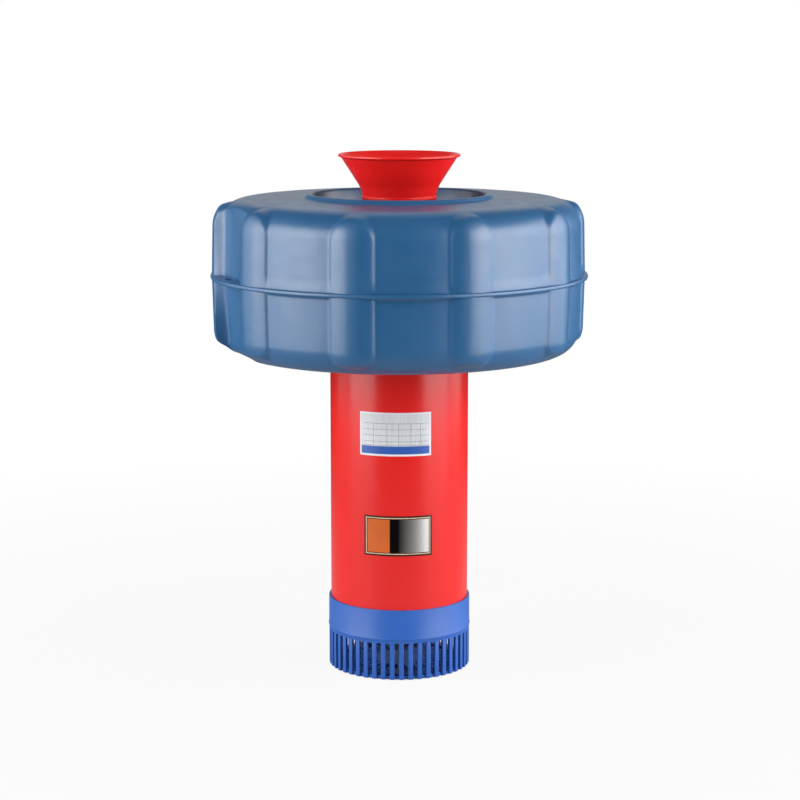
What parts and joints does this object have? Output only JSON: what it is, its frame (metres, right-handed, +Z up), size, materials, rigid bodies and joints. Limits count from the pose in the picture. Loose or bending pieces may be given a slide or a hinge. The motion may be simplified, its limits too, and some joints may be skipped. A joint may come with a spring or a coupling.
{
  "type": "floating pond pump",
  "caption": "Floating submersible pump: a ribbed ring float round a tubular motor barrel, slotted strainer below and a flared water outlet on top.",
  "frame": {"origin": "middle of the strainer's base, where the pump stands", "axes": "+Z up along the pump's axis towards the outlet, -Y towards the plates on the barrel"},
  "size_m": [0.4332, 0.433, 0.598],
  "materials": {
    "float_blue": "blow-moulded polyethylene, satin, faint orange peel",
    "barrel_red": "glossy pipe, soft highlights",
    "trumpet_red": "moulded plastic, satin gloss",
    "strainer_blue": "moulded plastic, satin",
    "gland_plastic": "black nylon",
    "black_plastic": "black engineering plastic",
    "impeller_plastic": "dark glass-filled nylon",
    "rubber": "black nitrile rubber",
    "steel": "bright steel",
    "stainless": "drawn stainless steel",
    "cast_alloy": "dark painted casting",
    "cast_iron": "machined grey iron",
    "laminations": "stacked electrical steel",
    "copper": "lacquered copper wire",
    "ceramic": "lapped ceramic"
  },
  "bodies": {
    "pump_body": {"float_shell": "float_blue", "float_collar": "float_blue", "barrel": "barrel_red", "strainer": "strainer_blue", "strainer_screws": "steel", "discharge_head": "cast_alloy", "head_gasket": "rubber", "head_screws": "steel", "float_screws": "steel", "cable_gland_body": "gland_plastic", "gland_seal": "rubber", "gland_nut": "gland_plastic", "cable_conduit": "steel", "motor_casing": "stainless", "motor_spider": "black_plastic", "motor_top_cap": "cast_alloy", "cap_screws": "steel", "capacitor": "gland_plastic", "stator_core": "laminations", "stator_windings": "copper", "lower_end_bell": "cast_iron", "upper_bearing_bracket": "cast_iron", "lower_bearing_outer_ring": "steel", "upper_bearing_outer_ring": "steel", "seal_seat": "ceramic", "guide_hub": "black_plastic", "guide_ring": "black_plastic", "guide_vanes": "black_plastic"},
    "rotor": {"rotor_shaft": "stainless", "rotor_core": "laminations", "seal_head": "rubber", "lower_bearing_inner_ring": "steel", "upper_bearing_inner_ring": "steel", "impeller_key": "steel", "impeller": "impeller_plastic", "impeller_nut": "steel"},
    "lower_balls": {"lower_ball_cage": "steel"},
    "upper_balls": {"upper_ball_cage": "steel"},
    "trumpet_outlet": {"trumpet": "trumpet_red"}
  },
  "joints": [
    {"name": "rotor_spin", "type": "hinge", "parent": "pump_body", "child": "rotor", "pos_m": [0, 0, 0.255], "axis": [0, 0, 1], "continuous": true},
    {"name": "lower_balls_orbit", "type": "hinge", "parent": "pump_body", "child": "lower_balls", "pos_m": [0, 0, 0.162], "axis": [0, 0, 1], "continuous": true},
    {"name": "upper_balls_orbit", "type": "hinge", "parent": "pump_body", "child": "upper_balls", "pos_m": [0, 0, 0.351], "axis": [0, 0, 1], "continuous": true},
    {"name": "trumpet_lift", "type": "slide", "parent": "pump_body", "child": "trumpet_outlet", "axis": [0, 0, 1], "range_m": [0, 0.06]}
  ],
  "couplings": [
    {"joint": "lower_balls_orbit", "follows": "rotor_spin", "ratio": 0.397},
    {"joint": "upper_balls_orbit", "follows": "rotor_spin", "ratio": 0.397}
  ]
}
